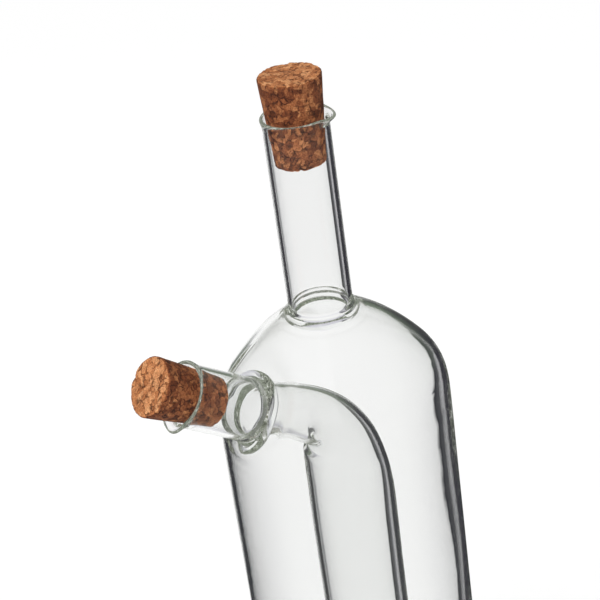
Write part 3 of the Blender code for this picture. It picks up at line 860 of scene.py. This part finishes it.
studio = {
    "white": (1, 1, 1), "ambient": 0.40, "reach": 60.0, "spread": 2.35, "spreadFrom": -0.375,
    # the paper gets lighter downwards, and an apron hangs below it
    "paper": 0.975, "paperFrom": -0.44, "paperGain": 0.4,
    "apron": (0.66, 0.65, 0.72), "apronFrom": -0.62, "apronEdge": 9,
    # the room is lighter towards the left, and seen through the glass it starts above the skyline
    "lift": 0.004, "liftFrom": -0.46, "liftEdge": 4, "skyline": 0.07, "skylineEdge": 10,
    # reflected, the cards reach this far to the side, and the room's front lies past the viewer
    "sideEnd": 78.0, "sideFade": 12.0,
    "front": (0.20, 0.21, 0.185), "frontFrom": 92.0, "frontTop": 0.5, "frontEdge": 4,
    # reflected, the left card leans in with height, up to where the white reaches further left
    "squeeze": 1.5, "paleFrom": -0.21, "paleEdge": 12, "paleShare": 0.6,
    # what stands behind, by degrees to the right of the view: white paper, and two tall cards before it
    "behind": [(-60, (1, 1, 1)), (-46, (1, 1, 1)), (-41, (0.70, 0.70, 0.71)), (-33, (0.58, 0.58, 0.59)),
               (-26, (0.50, 0.50, 0.51)), (-18.6, (0.42, 0.42, 0.44)), (-17.4, (1, 1, 1)), (11.4, (1, 1, 1)),
               (12.2, (0.03, 0.03, 0.035)), (14, (0.08, 0.08, 0.085)), (16.5, (0.12, 0.12, 0.13)),
               (18.5, (0.28, 0.28, 0.30)), (20.5, (0.56, 0.55, 0.58)), (23, (0.68, 0.67, 0.70)),
               (26, (0.60, 0.59, 0.62)), (30, (0.60, 0.59, 0.62)), (38, (0.68, 0.68, 0.69)),
               (44, (1, 1, 1)), (60, (1, 1, 1))],
    # the same as the light meets it that was reflected once: the cards run on into the dark room
    "mirror": [(-60, (0.060, 0.058, 0.064)), (-45, (0.055, 0.053, 0.060)), (-36, (0.030, 0.030, 0.036)),
               (-26, (0.030, 0.030, 0.034)), (-22, (0.06, 0.06, 0.065)), (-20, (0.35, 0.35, 0.36)),
               (-17, (1, 1, 1)), (4, (1, 1, 1)), (7, (0.40, 0.40, 0.40)), (9.5, (0.08, 0.08, 0.08)),
               (18, (0.022, 0.022, 0.028)), (27, (0.040, 0.038, 0.048)),
               (60, (0.030, 0.029, 0.038))],
    # the room round it by height, from the bottle's own table up to the ceiling
    "room": [(-1.0, (0.50, 0.50, 0.47)), (-0.78, (0.40, 0.40, 0.37)), (-0.66, (0.035, 0.035, 0.042)),
             (-0.30, (0.035, 0.035, 0.042)), (-0.14, (0.17, 0.205, 0.16)), (0.0, (0.19, 0.22, 0.17)),
             (0.12, (0.27, 0.28, 0.25)), (0.5, (0.42, 0.43, 0.40)), (1.0, (0.85, 0.85, 0.84))],
    # the light that finds its way in to the corks, from the far right up to the lamp's side
    "inner": [(-1.0, (0.50, 0.50, 0.52)), (0.0, (1.2, 1.2, 1.2)), (0.6, (2.7, 2.66, 2.60)),
              (1.0, (3.8, 3.74, 3.65))],
    "lamps": {"softboxLeft": {"place": Vector((-0.95, -0.20, 1.35)), "size": 1.0, "power": 15},
              "softboxFront": {"place": Vector((-0.3, -1.5, 0.9)), "size": 1.2, "power": 6}},
    "aim": Vector((0, 0, 0.18)), "floorSize": 4, "floorColour": (0.97, 0.97, 0.97), "floorRoughness": 0.9,
    "floorGlow": 1.1, "glowShare": 0.8,
}


class Sky(Graph):
    # the world's colour, worked out from the direction alone
    def limit(self, value):
        return self.node("Clamp", {}, {"Value": value})

    def along(self, axis):
        return self.node("VectorMath", {"operation": "DOT_PRODUCT"}, {0: self.way, 1: tuple(axis)}, 1)

    def band(self, value, name, reach):
        # a list of the studio's colours, spread over plus and minus the reach
        stops = [(0.5 + place / reach / 2, colour) for place, colour in studio[name]]
        return self.ramp(value / (2 * reach) + 0.5, stops)


def addWorld():
    # white to the camera; through the glass, the paper and the cards behind it; reflected, the room
    world = bpy.data.worlds.new("studio")
    world.use_nodes = True
    bpy.context.scene.world = world
    sky = Sky(world.node_tree)
    sky.way = sky.node("TexCoord")
    side, front, height = [sky.along(axis) for axis in (right, ahead, Vector((0, 0, 1)))]
    turn = side.join("ARCTAN2", side, front) * math.degrees(1)
    toSide = turn.join("ABSOLUTE", turn, 0.0)
    spread = (height - studio["spreadFrom"]).join("MAXIMUM", height - studio["spreadFrom"], 0.0)
    cards = sky.band(turn / (spread * studio["spread"] + 1), "behind", studio["reach"])
    cards = sky.mix(sky.limit((studio["apronFrom"] - height) * studio["apronEdge"]), cards, studio["apron"])
    gain = sky.limit(studio["paperFrom"] - height) * studio["paperGain"] + studio["paper"]
    cards = sky.node("VectorMath", {"operation": "SCALE"}, {"Vector": cards, "Scale": gain})
    sideways = turn.join("MAXIMUM", turn.join("MINIMUM", turn, studio["reach"]), -studio["reach"])
    raised = sky.limit((height - studio["liftFrom"]) * studio["liftEdge"])
    room = sky.band(height - sideways * studio["lift"] * raised, "room", 1.0)
    below = sky.limit((studio["skyline"] - height) * studio["skylineEdge"])
    behind = sky.mix(below, room, cards)
    # the same for light that was reflected once
    squeezed = turn + turn.join("MINIMUM", turn, 0.0) * spread * studio["squeeze"]
    pale = sky.limit((height - studio["paleFrom"]) * studio["paleEdge"]) * studio["paleShare"]
    squeezed = squeezed - squeezed.join("MINIMUM", squeezed, 0.0) * pale
    mirror = sky.mix(1.0, room, sky.band(squeezed, "mirror", studio["reach"]), "LIGHTEN")
    near = sky.limit((studio["sideEnd"] - toSide) / studio["sideFade"])
    close = sky.mix(near * below, room, mirror)
    facing = sky.limit((toSide - studio["frontFrom"]) / studio["sideFade"])
    low = sky.limit((studio["frontTop"] - height) * studio["frontEdge"])
    close = sky.mix(facing * low, close, studio["front"])
    lamp = studio["lamps"]["softboxLeft"]["place"].normalized()
    inner = sky.band(sky.along(lamp), "inner", 1.0)
    camera, through, mirrored = sky.rays("Is Camera Ray", "Is Transmission Ray", "Is Glossy Ray")
    bounced, lit = sky.rays("Glossy Depth", "Diffuse Depth")
    bounced = bounced.join("MINIMUM", bounced, 1.0)
    lit = lit.join("MINIMUM", lit, 1.0)
    ambient = sky.mix(camera, (studio["ambient"],) * 3, studio["white"])
    seen = sky.mix(lit, sky.mix(bounced, behind, close), inner)
    colour = sky.mix(through, sky.mix(mirrored, ambient, close), seen)
    feed(world.node_tree, world.node_tree.nodes["Background"].inputs["Color"], colour)


def addFloor():
    # plain paper; the glass looks through it to the studio's cards, the camera sees it white
    bm = bmesh.new()
    bmesh.ops.create_grid(bm, x_segments=2, y_segments=2, size=studio["floorSize"])
    floor = pieceFrom(bm, "floor")
    finish = Finish("floorPaper")
    finish.set(BaseColor=studio["floorColour"], Roughness=studio["floorRoughness"], Metallic=0.0)
    camera = finish.rays("Is Camera Ray")[0]
    glow = finish.node("Emission", {}, {"Color": studio["white"], "Strength": studio["floorGlow"]})
    paper = Wire(finish.tree, finish.shader.outputs[0])
    both = finish.node("MixShader", {}, {0: camera * studio["glowShare"], 1: paper, 2: glow})
    feed(finish.tree, finish.output.inputs["Surface"], both)
    floor.data.materials.append(finish.material)
    floor.visible_transmission = False
    floor.visible_glossy = False


def addLight(name):
    settings = studio["lamps"][name]
    data = bpy.data.lights.new(name, "AREA")
    data.size = settings["size"]
    data.energy = settings["power"]
    light = bpy.data.objects.new(name, data)
    aim = studio["aim"] - settings["place"]
    turn = aim.to_track_quat("-Z", "Y").to_matrix().to_4x4()
    light.matrix_world = Matrix.Translation(settings["place"]) @ turn
    light.visible_glossy = False
    light.visible_transmission = False
    bpy.context.collection.objects.link(light)


addWorld()
addFloor()
for name in studio["lamps"]:
    addLight(name)
bpy.context.scene.view_settings.view_transform = "Standard"
print("stage done")
